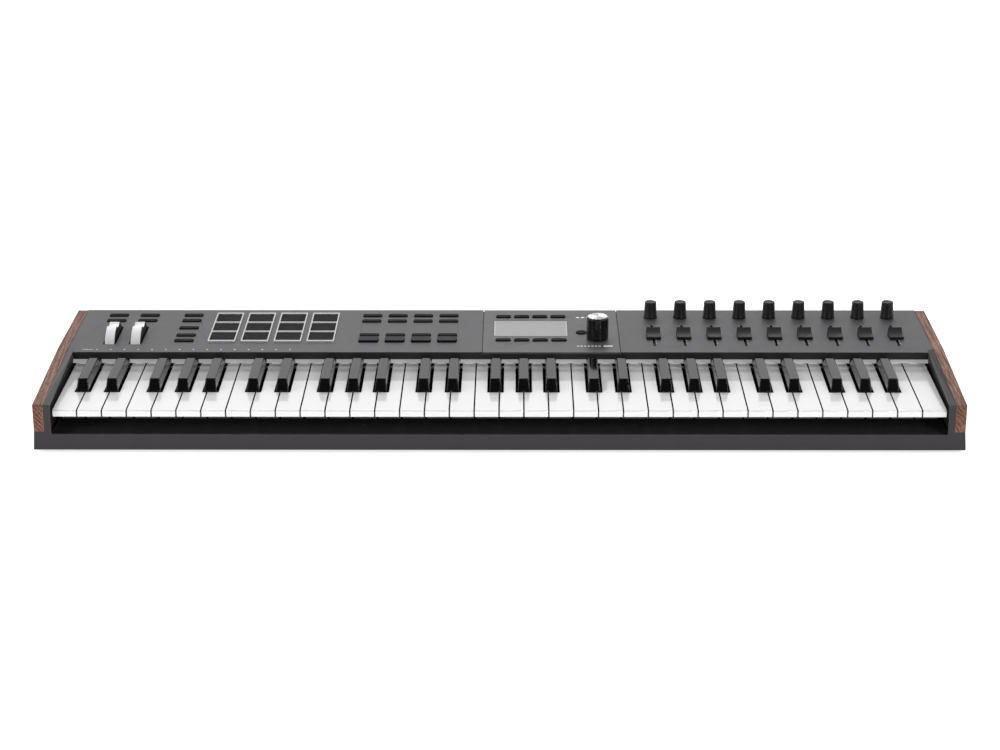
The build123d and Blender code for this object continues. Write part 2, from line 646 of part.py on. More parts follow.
def encoder_knob():
    foot = PANEL_TOP + 0.9
    groove = PANEL_TOP + ENCODER_GROOVE
    bore = SHAFT_RADIUS + RUNNING
    outline = [
        (bore, ENCODER_TOP - 3.8),
        (bore, foot + 8.0),
        (6.0, foot + 8.0),
        (6.0, foot),
        (ENCODER_RADIUS - 0.5, foot),
        (ENCODER_RADIUS, foot + 0.5),
        (ENCODER_RADIUS, groove),
        (ENCODER_RADIUS - 0.8, groove),
        (ENCODER_RADIUS - 0.8, groove + 1.0),
        (ENCODER_RADIUS, groove + 1.0),
        (ENCODER_RADIUS, ENCODER_TOP - 1.5),
        (ENCODER_RADIUS - 1.5, ENCODER_TOP),
        (0, ENCODER_TOP),
        (0, ENCODER_TOP - 3.8),
    ]
    face = Plane.XZ * make_face(Polyline(*outline, close=True))
    return Pos(ENCODER_X, ENCODER_Y, 0) * revolve(face, Axis.Z)


def fader(x):
    """Finger cap that dips in a shallow curve from its high rear to its low front."""
    width, depth, height = FADER_CAP
    bottom = PANEL_TOP + 0.6
    cap = rounded(x, FADER_Y, bottom, bottom + height, (width, depth), 1.5)
    front = (FADER_Y - depth / 2, bottom + FADER_FRONT_HEIGHT)
    crest = (FADER_Y + depth / 2 - 2.0, bottom + height)
    dip = ThreePointArc(
        front, ((front[0] + crest[0]) / 2 + 0.4, (front[1] + crest[1]) / 2 - 1.2), crest)
    above = Polyline(crest, (crest[0], crest[1] + 5), (front[0] - 5, crest[1] + 5),
                     (front[0] - 5, front[1]), front)
    cap -= extrude(Plane.YZ.offset(x - width) * make_face([dip, above]), 2 * width)
    blade_half, blade_reach = FADER_BLADE[0] / 2, FADER_BLADE[1] / 2
    blade_bottom = BOARD_TOP + 3.5
    return cap + block(x - blade_half, x + blade_half, FADER_Y - blade_reach, FADER_Y + blade_reach,
                       blade_bottom, bottom)


def fader_bodies():
    bodies = []
    for x in STRIP_X:
        body = block(x - 4.5, x + 4.5, *FADER_BODY, BOARD_TOP, PANEL_UNDER - 0.2)
        half = FADER_SLOT_WIDTH / 2
        body -= block(x - half, x + half, FADER_SLOT[0] + 0.6, FADER_SLOT[1], BOARD_TOP + 2.5, PANEL_UNDER)
        bodies.append(body)
    return group(bodies)


def wheel(x):
    """Finger wheel on stub axles, cut flat below, with a finger notch in its rim."""
    half = WHEEL_WIDTH / 2
    disc = along_x(x - half, x + half, WHEEL_Y, WHEEL_Z, WHEEL_RADIUS)
    disc = fillet(disc.edges(), 0.8)
    disc -= block(x - half - 1, x + half + 1, WHEEL_Y - 40, WHEEL_Y + 40, 0, WHEEL_Z - WHEEL_CUT)
    notch_distance = WHEEL_RADIUS + NOTCH_RADIUS - NOTCH_DEPTH
    lean = math.radians(NOTCH_LEAN_DEG)
    disc -= along_x(x - half - 1, x + half + 1,
                    WHEEL_Y + notch_distance * math.sin(lean),
                    WHEEL_Z + notch_distance * math.cos(lean), NOTCH_RADIUS)
    axle = half + BRACKET_PLATE + 1.5
    return disc + along_x(x - axle, x + axle, WHEEL_Y, WHEEL_Z, SHAFT_RADIUS)


def wheel_bracket():
    """Base plate with two cheeks for each wheel."""
    base_top = FLOOR_TOP + 2.0
    inner = WHEEL_WIDTH / 2 + 1.0
    outer = inner + BRACKET_PLATE
    first, last = WHEEL_X["pitch_wheel"], WHEEL_X["mod_wheel"]
    bracket = block(first - outer, last + outer, WHEEL_Y - 14, WHEEL_Y + 14, FLOOR_TOP, base_top)
    for x in (first, last):
        for side in (-1, 1):
            near, far = sorted((x + side * inner, x + side * outer))
            bracket += block(near, far, WHEEL_Y - 8, WHEEL_Y + 8, base_top, WHEEL_Z + 7)
    return bracket - along_x(first - outer - 1, last + outer + 1, WHEEL_Y, WHEEL_Z, SHAFT_RADIUS + RUNNING)


def panel_board():
    """Circuit board under the panel, cut out round the wheels."""
    board_front = DECK_BACK + 0.7
    board = block(-420, 420, board_front, REAR - FLOOR - 2, BOARD_BOTTOM, BOARD_TOP)
    return board - block(-421, -352, board_front - 1, 84, BOARD_BOTTOM - 1, BOARD_TOP + 1)


def display_module():
    half_width, half_depth = DISPLAY_WIDTH / 2 + 4, DISPLAY_DEPTH / 2 + 2.5
    module = block(-half_width, half_width, -half_depth, half_depth, BOARD_TOP, BEZEL_UNDER)
    screen = block(-half_width + 7, half_width - 7, -half_depth + 5, half_depth - 5,
                   BEZEL_UNDER, PANEL_TOP - WINDOW_THICKNESS - 0.3)
    return Pos(DISPLAY_X, DISPLAY_Y, 0) * (module + screen)


def display_window():
    size = grown((DISPLAY_WIDTH, DISPLAY_DEPTH), -0.1)
    return rounded(DISPLAY_X, DISPLAY_Y, PANEL_TOP - WINDOW_THICKNESS, PANEL_TOP, size, 0.6)


# ---------------------------------------------------------------- rear connectors
def pedal_jacks():
    inside = REAR - FLOOR
    jacks = []
    for x in JACK_X:
        jack = block(x - 8, x + 8, inside - 22, inside, SOCKET_Z - 8, SOCKET_Z + 8)
        jack += along_y(x, inside, REAR, SOCKET_Z, JACK_NOSE)
        jack -= along_y(x, inside - 19, REAR + 1, SOCKET_Z, JACK_BORE)
        jacks.append(jack)
    return group(jacks)


def midi_sockets():
    inside = REAR - FLOOR
    sockets = []
    for x in DIN_X:
        socket = block(x - 10, x + 10, inside - 14, inside, SOCKET_Z - 10, SOCKET_Z + 10)
        socket += along_y(x, inside, REAR, SOCKET_Z, DIN_NOSE)
        socket -= along_y(x, REAR - DIN_DEPTH, REAR + 1, SOCKET_Z, DIN_RECESS)
        sockets.append(socket)
    return group(sockets)


def usb_socket():
    shell = extrude(RectangleRounded(*grown(USB_SIZE, 0.4), 1.6), 9.0)
    shell -= extrude(RectangleRounded(*USB_SIZE, 1.4), 7.0)
    shell += Pos(0, 0, 4.0) * Box(6.6, 0.7, 7.0)
    return Pos(USB_X, REAR, SOCKET_Z) * Rot(90, 0, 0) * shell


def build():
    nodes = {
        "base_tray": base_tray(),
        "top_panel": top_panel(),
        "center_bezel": center_bezel(),
        "wood_cheek_left": wood_cheek(-1),
        "wood_cheek_right": wood_cheek(1),
        "rubber_feet": rubber_feet(),
        "case_screws": case_screws(),
        "keybed_frame": keybed_frame(),
        "key_hinge_rod": key_hinge_rod(),
        "key_rear_rail": key_rear_rail(),
        "contact_board": contact_board(),
        "contact_domes": contact_domes(),
        "left_buttons": left_buttons(),
        "function_buttons": function_buttons(),
        "display_buttons": display_buttons(),
        "pad_frames": pad_frames(),
        "drum_pads": drum_pads(),
        "knob_encoders": knob_encoders(),
        "encoder_shaft": encoder_shaft(),
        "encoder_knob": encoder_knob(),
        "fader_bodies": fader_bodies(),
        "wheel_bracket": wheel_bracket(),
        "panel_board": panel_board(),
        "display_module": display_module(),
        "display_window": display_window(),
        "pedal_jacks": pedal_jacks(),
        "midi_sockets": midi_sockets(),
        "usb_socket": usb_socket(),
    }
    for name, x in WHEEL_X.items():
        nodes[name] = wheel(x)
    for number, x in enumerate(STRIP_X, start=1):
        nodes[f"knob_{number}"] = knob(x)
        nodes[f"fader_{number}"] = fader(x)
    nodes.update(key_groups())
    return nodes


os.makedirs("parts", exist_ok=True)
for node_name, shape in build().items():
    export_step(shape, f"parts/{node_name}.step")
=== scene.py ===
import json
import math

import bmesh
import bpy
from mathutils import Matrix, Vector


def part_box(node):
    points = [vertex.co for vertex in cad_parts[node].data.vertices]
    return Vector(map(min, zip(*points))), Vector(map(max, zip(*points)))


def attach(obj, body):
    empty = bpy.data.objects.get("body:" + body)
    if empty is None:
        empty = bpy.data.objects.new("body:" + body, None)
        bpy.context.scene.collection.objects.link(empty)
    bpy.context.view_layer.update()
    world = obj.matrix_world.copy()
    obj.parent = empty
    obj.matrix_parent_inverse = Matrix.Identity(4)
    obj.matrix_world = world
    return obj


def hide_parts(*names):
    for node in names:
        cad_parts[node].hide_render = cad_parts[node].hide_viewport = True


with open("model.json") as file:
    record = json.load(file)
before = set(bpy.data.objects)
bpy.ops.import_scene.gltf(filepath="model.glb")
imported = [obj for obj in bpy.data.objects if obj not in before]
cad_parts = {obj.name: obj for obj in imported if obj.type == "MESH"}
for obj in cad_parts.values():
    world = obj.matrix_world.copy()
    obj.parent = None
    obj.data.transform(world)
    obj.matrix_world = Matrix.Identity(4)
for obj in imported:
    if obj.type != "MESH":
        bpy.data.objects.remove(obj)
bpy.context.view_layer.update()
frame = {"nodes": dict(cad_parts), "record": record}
nodes = frame["nodes"]

MM = 0.001
OCTAVE = 164.5 * MM
WHITE_KEYS = 36
STRIPS = range(1, 10)


# ------------------------------------------------------------------ node graphs
class Graph:
    """Adds and joins the shader nodes of one material."""

    def __init__(self, name):
        self.material = bpy.data.materials.new(name)
        self.material.use_nodes = True
        self.tree = self.material.node_tree
        self.bsdf = self.tree.nodes["Principled BSDF"]
        self.place = self.add("TexCoord").outputs["Object"]

    def put(self, socket, value):
        if isinstance(value, bpy.types.NodeSocket):
            self.tree.links.new(value, socket)
        else:
            socket.default_value = value

    def add(self, kind, inputs=None, **settings):
        node = self.tree.nodes.new("ShaderNode" + kind)
        for key, value in settings.items():
            setattr(node, key, value)
        for key, value in (inputs or {}).items():
            self.put(node.inputs[key], value)
        return node

    def noise(self, size, detail=3.0, stretch=(1, 1, 1), turn=(0, 0, 0), roughness=0.5):
        """Noise whose blobs are about `size` metres, stretched along the axes."""
        spread = tuple(1.0 / s for s in stretch)
        place = self.add("Mapping", {"Vector": self.place, "Rotation": turn, "Scale": spread})
        inputs = {"Vector": place.outputs[0], "Scale": 1.0 / size, "Detail": detail,
                  "Roughness": roughness}
        return self.add("TexNoise", inputs).outputs["Fac"]

    def ramp(self, factor, stops):
        """Colour ramp; stops are (position, grey level or colour)."""
        node = self.add("ValToRGB", {"Fac": factor})
        elements = node.color_ramp.elements
        while len(elements) < len(stops):
            elements.new(0.5)
        for element, (position, value) in zip(elements, stops):
            element.position = position
            colour = value if isinstance(value, tuple) else (value, value, value)
            element.color = (*colour, 1.0)
        return node.outputs["Color"]

    def mix(self, factor, first, second, blend="MIX"):
        node = self.add("Mix", data_type="RGBA", blend_type=blend)
        self.put(node.inputs[0], factor)
        for socket, value in ((node.inputs[6], first), (node.inputs[7], second)):
            self.put(socket, (*value, 1.0) if isinstance(value, tuple) else value)
        return node.outputs[2]

    def math(self, operation, first, second=0.0):
        node = self.add("Math", operation=operation)
        self.put(node.inputs[0], first)
        self.put(node.inputs[1], second)
        return node.outputs[0]

    def edges(self, radius):
        """1 on sharp edges, 0 on flat faces."""
        soft = self.add("Bevel", {"Radius": radius}, samples=4).outputs[0]
        hard = self.add("NewGeometry").outputs["Normal"]
        same = self.add("VectorMath", operation="DOT_PRODUCT")
        self.put(same.inputs[0], soft)
        self.put(same.inputs[1], hard)
        away = self.math("SUBTRACT", 1.0, same.outputs["Value"])
        return self.ramp(away, [(0.02, 0.0), (0.25, 1.0)])

    def normal(self, axis):
        """One component of the surface normal in the scene's frame."""
        return self.add("SeparateXYZ", {0: self.add("NewGeometry").outputs["Normal"]}).outputs[axis]

    def bands(self, size, stretch, turn, wander):
        """Soft parallel bands about `size` metres apart that wander a little."""
        spread = tuple(1.0 / s for s in stretch)
        turned_place = self.add("Mapping", {"Vector": self.place, "Rotation": turn}).outputs[0]
        place = self.add("Mapping", {"Vector": turned_place, "Scale": spread}).outputs[0]
        inputs = {"Vector": place, "Scale": math.pi / 10 / size, "Distortion": wander,
                  "Detail": 3.0, "Detail Scale": 0.35, "Detail Roughness": 0.6}
        return self.add("TexWave", inputs).outputs["Fac"]

    def bump(self, height, depth, rounding=None):
        """Fine relief; with `rounding`, edges also catch the light as if worn that round."""
        node = self.add("Bump", {"Height": height, "Distance": depth})
        if rounding:
            soft = self.add("Bevel", {"Radius": rounding}, samples=6).outputs[0]
            self.put(node.inputs["Normal"], soft)
        self.put(self.bsdf.inputs["Normal"], node.outputs[0])

    def finish(self, colour, roughness, **values):
        self.put(self.bsdf.inputs["Base Color"], colour)
        self.put(self.bsdf.inputs["Roughness"], roughness)
        for key, value in values.items():
            self.put(self.bsdf.inputs[key.replace("_", " ")], value)
        return self.material


def shade(colour, factor):
    return tuple(min(1.0, channel * factor) for channel in colour)


def surface(name, colour, roughness, grain, depth, mottle=0.08, edge_highlight=1.35, edge=0.5 * MM,
            rounding=None, **values):
    """Moulded or coated surface: fine grain, slow colour drift, a painted highlight on sharp edges,
    uneven sheen.
    """
    g = Graph(name)
    drift = g.noise(60 * MM, detail=5)
    tint = g.mix(drift, shade(colour, 1 - mottle), shade(colour, 1 + mottle))
    fine = g.noise(grain, detail=4)
    tint = g.mix(g.ramp(fine, [(0.35, 0.0), (0.7, 0.35)]), tint, shade(colour, 1 + 2 * mottle))
    # A factor above 1 lightens the sharp edges: a painted highlight, not real wear.
    if edge_highlight != 1.0:
        tint = g.mix(g.edges(edge), tint, shade(colour, edge_highlight))
    smudge = g.noise(14 * MM, detail=6, roughness=0.65)
    sheen = g.ramp(smudge, [(0.3, roughness * 0.86), (0.75, min(1.0, roughness * 1.14))])
    g.bump(fine, depth, rounding)
    return g.finish(tint, sheen, **values)


def painted_panel(name, colour, roughness):
    """Satin paint with painted shade on faces that lean forward: darker on the sloping side strips
    and nearly black on the folded front edge; sharp edges carry a painted highlight.
    """
    g = Graph(name)
    drift = g.noise(70 * MM, detail=5)
    fine = g.noise(0.35 * MM, detail=4)
    tint = g.mix(drift, shade(colour, 0.95), shade(colour, 1.05))
    tint = g.mix(g.ramp(fine, [(0.4, 0.0), (0.7, 0.3)]), tint, shade(colour, 1.12))
    # Sharp edges lightened: a painted highlight.
    tint = g.mix(g.edges(0.5 * MM), tint, shade(colour, 1.5))
    # Faces that lean forward are darkened by their normal: painted shade.
    lean = g.math("MULTIPLY", g.normal("Y"), -1.0)
    forward_shade = g.ramp(lean, [(0.02, 1.0), (0.05, 0.30), (0.6, 0.30), (0.9, 0.34)])
    tint = g.mix(1.0, tint, forward_shade, "MULTIPLY")
    smudge = g.noise(14 * MM, detail=6, roughness=0.65)
    sheen = g.ramp(smudge, [(0.3, roughness * 0.92), (0.75, roughness * 1.08)])
    g.bump(fine, 0.015 * MM)
    return g.finish(tint, sheen, Specular_IOR_Level=0.3)


def walnut(name):
    """Solid wood cut lengthwise: growth bands lean across the board and run along it."""
    g = Graph(name)
    lean = (math.radians(2.5), math.radians(40), math.radians(1.5))
    rings = g.bands(3.6 * MM, (1, 12, 1), lean, 11.0)
    strength = g.noise(8 * MM, detail=4, stretch=(1, 6, 1))
    fibres = g.noise(0.9 * MM, detail=6, stretch=(1, 30, 2), turn=lean, roughness=0.7)
    pores = g.noise(0.45 * MM, detail=2, stretch=(1, 30, 2), turn=lean)
    drift = g.noise(30 * MM, detail=4, stretch=(1, 3, 1))
    light = g.ramp(drift, [(0.35, (0.225, 0.098, 0.062)), (0.65, (0.375, 0.180, 0.122))])
    dark = g.ramp(rings, [(0.05, 1.0), (0.30, 0.55), (0.62, 0.0)])
    dark = g.mix(1.0, dark, g.ramp(strength, [(0.36, 0.10), (0.60, 1.0)]), "MULTIPLY")
    body = g.mix(dark, light, (0.045, 0.014, 0.009))
    body = g.mix(g.ramp(fibres, [(0.42, 0.85), (0.54, 0.0)]), body, (0.085, 0.030, 0.019))
    body = g.mix(g.ramp(pores, [(0.32, 0.8), (0.42, 0.0)]), body, (0.050, 0.018, 0.012))
    # Paler brown on sharp edges: a painted highlight.
    body = g.mix(g.edges(0.6 * MM), body, (0.30, 0.16, 0.12))
    sheen = g.ramp(fibres, [(0.3, 0.60), (0.7, 0.42)])
    g.bump(g.mix(0.5, fibres, pores), 0.12 * MM)
    return g.finish(body, sheen, Specular_IOR_Level=0.25)


def silver_rim(name):
    """Satin silver round the rim of a wheel; its two flat sides are black plastic."""
    g = Graph(name)
    lines = g.noise(0.22 * MM, detail=3, stretch=(1, 50, 50))
    smudge = g.noise(5 * MM, detail=5)
    silver = g.mix(lines, (0.72, 0.72, 0.73), (0.82, 0.82, 0.83))
    # Near-white on sharp edges: a painted highlight.
    silver = g.mix(g.edges(0.7 * MM), silver, (0.95, 0.95, 0.95))
    sideways = g.math("ABSOLUTE", g.normal("X"))
    side = g.ramp(sideways, [(0.75, 0.0), (0.85, 1.0)])
    tint = g.mix(side, silver, (0.006, 0.006, 0.007))
    g.bump(lines, 0.02 * MM)
    sheen = g.ramp(smudge, [(0.3, 0.40), (0.7, 0.52)])
    metal = g.ramp(sideways, [(0.75, 0.20), (0.85, 0.0)])
    return g.finish(tint, sheen, Metallic=metal, Specular_IOR_Level=0.2)


def key_white(name):
    """Glossy white key; the flat walls that face the next key are darkened, a painted shade for the
    gaps between keys.
    """
    g = Graph(name)
    drift = g.noise(60 * MM, detail=4)
    tint = g.mix(drift, (0.84, 0.835, 0.845), (0.875, 0.87, 0.88))
    # Walls facing sideways darkened: painted shade between neighbouring keys.
    sideways = g.ramp(g.math("ABSOLUTE", g.normal("X")), [(0.85, 0.0), (0.95, 1.0)])
    tint = g.mix(sideways, tint, (0.22, 0.21, 0.22))
    waves = g.noise(9 * MM, detail=3)
    g.bump(waves, 0.010 * MM)
    sheen = g.ramp(waves, [(0.3, 0.20), (0.7, 0.26)])
    return g.finish(tint, sheen, Coat_Weight=1.0, Coat_Roughness=0.02, Coat_IOR=1.6)


def button_caps(name):
    """Black rubber caps; the tops of the taller ones are paler."""
    g = Graph(name)
    fine = g.noise(0.25 * MM, detail=4)
    tint = g.mix(fine, (0.006, 0.005, 0.006), (0.008, 0.007, 0.008))
    height = g.add("SeparateXYZ", {"Vector": g.place}).outputs["Z"]
    tall = g.ramp(g.math("MULTIPLY", height, 10.0), [(0.586, 0.0), (0.589, 1.0)])
    tint = g.mix(tall, tint, (0.050, 0.047, 0.050))
    # Slightly paler sharp edges: a painted highlight.
    tint = g.mix(g.edges(0.5 * MM), tint, (0.012, 0.011, 0.012))
    smudge = g.noise(14 * MM, detail=6, roughness=0.65)
    g.bump(fine, 0.02 * MM)
    return g.finish(tint, g.ramp(smudge, [(0.3, 0.52), (0.75, 0.68)]), **MATTE_BLACK)


def brushed(name, colour, roughness, along):
    """Metal with fine scratches drawn out along one axis."""
    g = Graph(name)
    stretch = tuple(60.0 if axis == along else 1.0 for axis in "xyz")
    lines = g.noise(0.22 * MM, detail=3, stretch=stretch)
    drift = g.noise(9 * MM, detail=4)
    tint = g.mix(g.ramp(lines, [(0.3, 0.0), (0.7, 1.0)]), shade(colour, 0.90), shade(colour, 1.06))
    tint = g.mix(g.ramp(drift, [(0.4, 0.0), (0.8, 0.25)]), tint, shade(colour, 0.88))
    sheen = g.ramp(lines, [(0.3, roughness * 0.8), (0.7, roughness * 1.25)])
    g.bump(lines, 0.03 * MM)
    return g.finish(tint, sheen, Metallic=0.85)


def turned(name, colour, roughness, centre):
    """Lathe-turned metal: rings, and fans of painted reflection round a vertical axis at `centre`."""
    g = Graph(name)
    shift = g.add("VectorMath", operation="SUBTRACT")
    g.put(shift.inputs[0], g.place)
    g.put(shift.inputs[1], (centre[0], centre[1], 0.0))
    parts = g.add("SeparateXYZ", {"Vector": shift.outputs[0]})
    flat = g.add("CombineXYZ", {"X": parts.outputs["X"], "Y": parts.outputs["Y"]})
    radius = g.add("VectorMath", {"Vector": flat.outputs[0]}, operation="LENGTH").outputs["Value"]
    rings = g.math("SINE", g.math("MULTIPLY", radius, 2 * math.pi / (0.25 * MM)))
    rings = g.math("ADD", g.math("MULTIPLY", rings, 0.5), 0.5)
    smudge = g.noise(4 * MM, detail=5)
    # Colour darkened and lightened by angle round the axis: a painted reflection of turned metal.
    angle = g.math("ARCTAN2", parts.outputs["Y"], parts.outputs["X"])
    reflection_fans = g.math("SINE", g.math("ADD", g.math("MULTIPLY", angle, 2.0), 0.9))
    reflection_fans = g.math("ADD", g.math("MULTIPLY", reflection_fans, 0.5), 0.5)
    tint = g.mix(rings, shade(colour, 0.92), shade(colour, 1.05))
    tint = g.mix(1.0, tint, g.ramp(reflection_fans, [(0.1, 0.42), (0.7, 1.0)]), "MULTIPLY")
    sheen = g.ramp(smudge, [(0.3, roughness * 0.8), (0.7, roughness * 1.3)])
    g.bump(rings, 0.012 * MM)
    return g.finish(tint, sheen, Metallic=0.9)


def circuit_board(name):
    """Green solder mask with paler copper runs under it."""
    g = Graph(name)
    runs = g.add("TexBrick", {"Vector": g.place, "Scale": 90.0, "Mortar Size": 0.03})
    lines = g.ramp(runs.outputs["Fac"], [(0.4, 0.0), (0.6, 0.6)])
    weave = g.noise(1.2 * MM, detail=2)
    tint = g.mix(lines, (0.012, 0.075, 0.032), (0.03, 0.17, 0.075))
    tint = g.mix(g.ramp(weave, [(0.4, 0.0), (0.8, 0.25)]), tint, (0.02, 0.12, 0.05))
    g.bump(runs.outputs["Fac"], 0.03 * MM)
    return g.finish(tint, 0.38)


MATTE_BLACK = dict(Specular_IOR_Level=0.05)
# In these calls an edge factor above 1 paints a highlight on the sharp edges.
MATERIALS = {
    "panel_metal": painted_panel("panel_metal", (0.074, 0.070, 0.075), 0.48),
    "bezel_metal": surface("bezel_metal", (0.088, 0.084, 0.089), 0.44, 0.30 * MM, 0.010 * MM,
                           mottle=0.04, edge_highlight=1.5, Specular_IOR_Level=0.3),
    "case_plastic": surface("case_plastic", (0.035, 0.032, 0.035), 0.50, 0.45 * MM, 0.020 * MM,
                            edge_highlight=3.0, edge=0.8 * MM, Specular_IOR_Level=0.25),
    "wood": walnut("wood"),
    "white_keys": key_white("white_keys"),
    "black_keys": surface("black_keys", (0.0035, 0.0033, 0.0036), 0.10, 1.2 * MM, 0.002 * MM,
                          mottle=0.10, edge_highlight=1.0, rounding=1.8 * MM),
    "button_rubber": button_caps("button_rubber"),
    "pad_rubber": surface("pad_rubber", (0.018, 0.0165, 0.018), 0.70, 0.35 * MM, 0.03 * MM,
                          edge_highlight=1.6, **MATTE_BLACK),
    "foot_rubber": surface("foot_rubber", (0.012, 0.012, 0.012), 0.80, 0.40 * MM, 0.04 * MM,
                           **MATTE_BLACK),
    "dome_rubber": surface("dome_rubber", (0.46, 0.46, 0.43), 0.60, 0.40 * MM, 0.02 * MM),
    "pad_frame_plastic": surface("pad_frame_plastic", (0.56, 0.55, 0.56), 0.42, 0.30 * MM,
                                 0.015 * MM, mottle=0.04, edge_highlight=1.2),
    "knob_plastic": surface("knob_plastic", (0.006, 0.006, 0.0063), 0.46, 0.30 * MM, 0.02 * MM,
                            edge_highlight=2.2, Specular_IOR_Level=0.3),
    "fader_plastic": surface("fader_plastic", (0.011, 0.010, 0.011), 0.42, 0.30 * MM, 0.01 * MM,
                             edge_highlight=4.0, Specular_IOR_Level=0.18),
    "frame_plastic": surface("frame_plastic", (0.036, 0.033, 0.036), 0.70, 0.50 * MM, 0.03 * MM,
                             **MATTE_BLACK),
    # The rail glows: painted light that keeps it bright in the shade under the panel.
    "rail_plastic": surface("rail_plastic", (0.90, 0.89, 0.90), 0.45, 0.40 * MM, 0.02 * MM,
                            mottle=0.06, edge_highlight=1.1, Emission_Color=(1, 1, 1, 1),
                            Emission_Strength=0.28),
    "steel": brushed("steel", (0.62, 0.62, 0.63), 0.30, "x"),
    "zinc": surface("zinc", (0.48, 0.48, 0.49), 0.42, 0.8 * MM, 0.01 * MM, Metallic=0.9),
    "screw_steel": surface("screw_steel", (0.07, 0.07, 0.075), 0.38, 0.3 * MM, 0.01 * MM,
                           Metallic=0.8),
    "wheel_silver": silver_rim("wheel_silver"),
    "board": circuit_board("board"),
    "display_black": surface("display_black", (0.05, 0.05, 0.055), 0.50, 0.4 * MM, 0.02 * MM),
    "display_glass": surface("display_glass", (0.304, 0.297, 0.304), 0.40, 6.0 * MM, 0.0005 * MM,
                             mottle=0.02, edge_highlight=1.0),
    "encoder_plastic": surface("encoder_plastic", (0.0025, 0.0025, 0.0027), 0.20, 0.3 * MM,
                               0.002 * MM, edge_highlight=2.0, Specular_IOR_Level=0.5),
    "socket_plastic": surface("socket_plastic", (0.015, 0.015, 0.015), 0.5, 0.3 * MM, 0.02 * MM),
    "print_white": surface("print_white", (0.75, 0.75, 0.76), 0.6, 0.2 * MM, 0.01 * MM),
}

# How far the sharp edges of a node are rounded off, in millimetres.
ROUNDING = {
    "top_panel": 0.35,
    "center_bezel": 0.35,
    "base_tray": 0.6,
    "key_rear_rail": 0.3,
    "pad_frames": 0.25,
    "pitch_wheel": 0.5,
    "mod_wheel": 0.5,
    "wood_cheek_left": 0.8,
    "wood_cheek_right": 0.8,
    "rubber_feet": 0.5,
    "display_window": 0.2,
}
WHITE_KEY_ROUNDING = 0.4


# ------------------------------------------------------------------ pieces that stay as CAD
def round_edges(piece, width_mm):
    """Joins the split CAD faces and rounds the sharp edges."""
    weld = piece.modifiers.new("weld", "WELD")
    weld.merge_threshold = 0.002 * MM
    bevel = piece.modifiers.new("bevel", "BEVEL")
    bevel.width = width_mm * MM
    bevel.segments = 2
    bevel.limit_method = "ANGLE"
    bevel.angle_limit = math.radians(38)
    bevel.harden_normals = True


def dress_cad_nodes():
    slots = {part["node"]: part["material_slot"] for part in frame["record"]["subparts"]}
    for name, piece in nodes.items():
        piece.data.materials.clear()
        piece.data.materials.append(MATERIALS[slots[name]])
        width = ROUNDING.get(name)
        if name.startswith("keys_") and not name.endswith("sharp"):
            width = WHITE_KEY_ROUNDING
        if width:
            round_edges(piece, width)


# ------------------------------------------------------------------ new pieces
PRINT_HEIGHT = 0.05 * MM
SMOOTH_BELOW_DEG = 35


def add_piece(name, mesh_builder, material, body):
    """Makes a mesh piece, smooths its shallow edges and lets it ride on a body."""
    mesh = bpy.data.meshes.new(name)
    shape = bmesh.new()
    mesh_builder(shape)
    bmesh.ops.recalc_face_normals(shape, faces=shape.faces)
    limit = math.radians(SMOOTH_BELOW_DEG)
    for edge in shape.edges:
        edge.smooth = len(edge.link_faces) == 2 and edge.calc_face_angle() < limit
    for face in shape.faces:
        face.smooth = True
    shape.to_mesh(mesh)
    shape.free()
    piece = bpy.data.objects.new(name, mesh)
    bpy.context.scene.collection.objects.link(piece)
    mesh.materials.append(material)
    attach(piece, body)
    return piece


def middle_of(node):
    """Middle of a CAD node seen from above."""
    low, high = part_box(node)
    return (low.x + high.x) / 2, (low.y + high.y) / 2


def lathe(shape, profile, centre, segments=64):
    """Turns an outline of (radius, height) points round a vertical axis."""
    rings = []
    for radius, height in profile:
        if radius == 0:
            rings.append([shape.verts.new((centre[0], centre[1], height))])
            continue
        ring = []
        for i in range(segments):
            angle = 2 * math.pi * i / segments
            x = centre[0] + radius * math.cos(angle)
            y = centre[1] + radius * math.sin(angle)
            ring.append(shape.verts.new((x, y, height)))
        rings.append(ring)
    for low, high in zip(rings, rings[1:]):
        for i in range(segments):
            j = (i + 1) % segments
            corners = [low[i % len(low)], low[j % len(low)], high[j % len(high)], high[i % len(high)]]
            unique = list(dict.fromkeys(corners))
            if len(unique) > 2:
                shape.faces.new(unique)


def lathe_to_rear(shape, profile, place, segments=48):
    """Turns an outline round an axis that points to the rear from `place`."""
    before = set(shape.verts)
    lathe(shape, profile, (0, 0), segments)
    new = [vertex for vertex in shape.verts if vertex not in before]
    matrix = Matrix.Translation(place) @ Matrix.Rotation(math.radians(-90), 4, "X")
    bmesh.ops.transform(shape, matrix=matrix, verts=new)
    bmesh.ops.remove_doubles(shape, verts=new, dist=0.001 * MM)


def disc(shape, x, y, z, radius, height, segments=20):
    """Low round dot standing on height z."""
    lathe(shape, [(0, z), (radius, z), (radius * 0.9, z + height), (0, z + height)],
          (x, y), segments)


def slab(shape, low, high):
    """Box between two corners."""
    size = Vector(high) - Vector(low)
    middle = (Vector(high) + Vector(low)) / 2
    matrix = Matrix.Translation(middle) @ Matrix.Diagonal((*size, 1.0))
    bmesh.ops.create_cube(shape, size=1.0, matrix=matrix)


def dashes(shape, x0, x1, y, depth, count, top):
    """Row of plain dashes between two x positions."""
    pitch = (x1 - x0) / count
    for i in range(count):
        left = x0 + i * pitch
        right = left + 0.62 * pitch
        slab(shape, (left, y - depth / 2, top), (right, y + depth / 2, top + PRINT_HEIGHT))


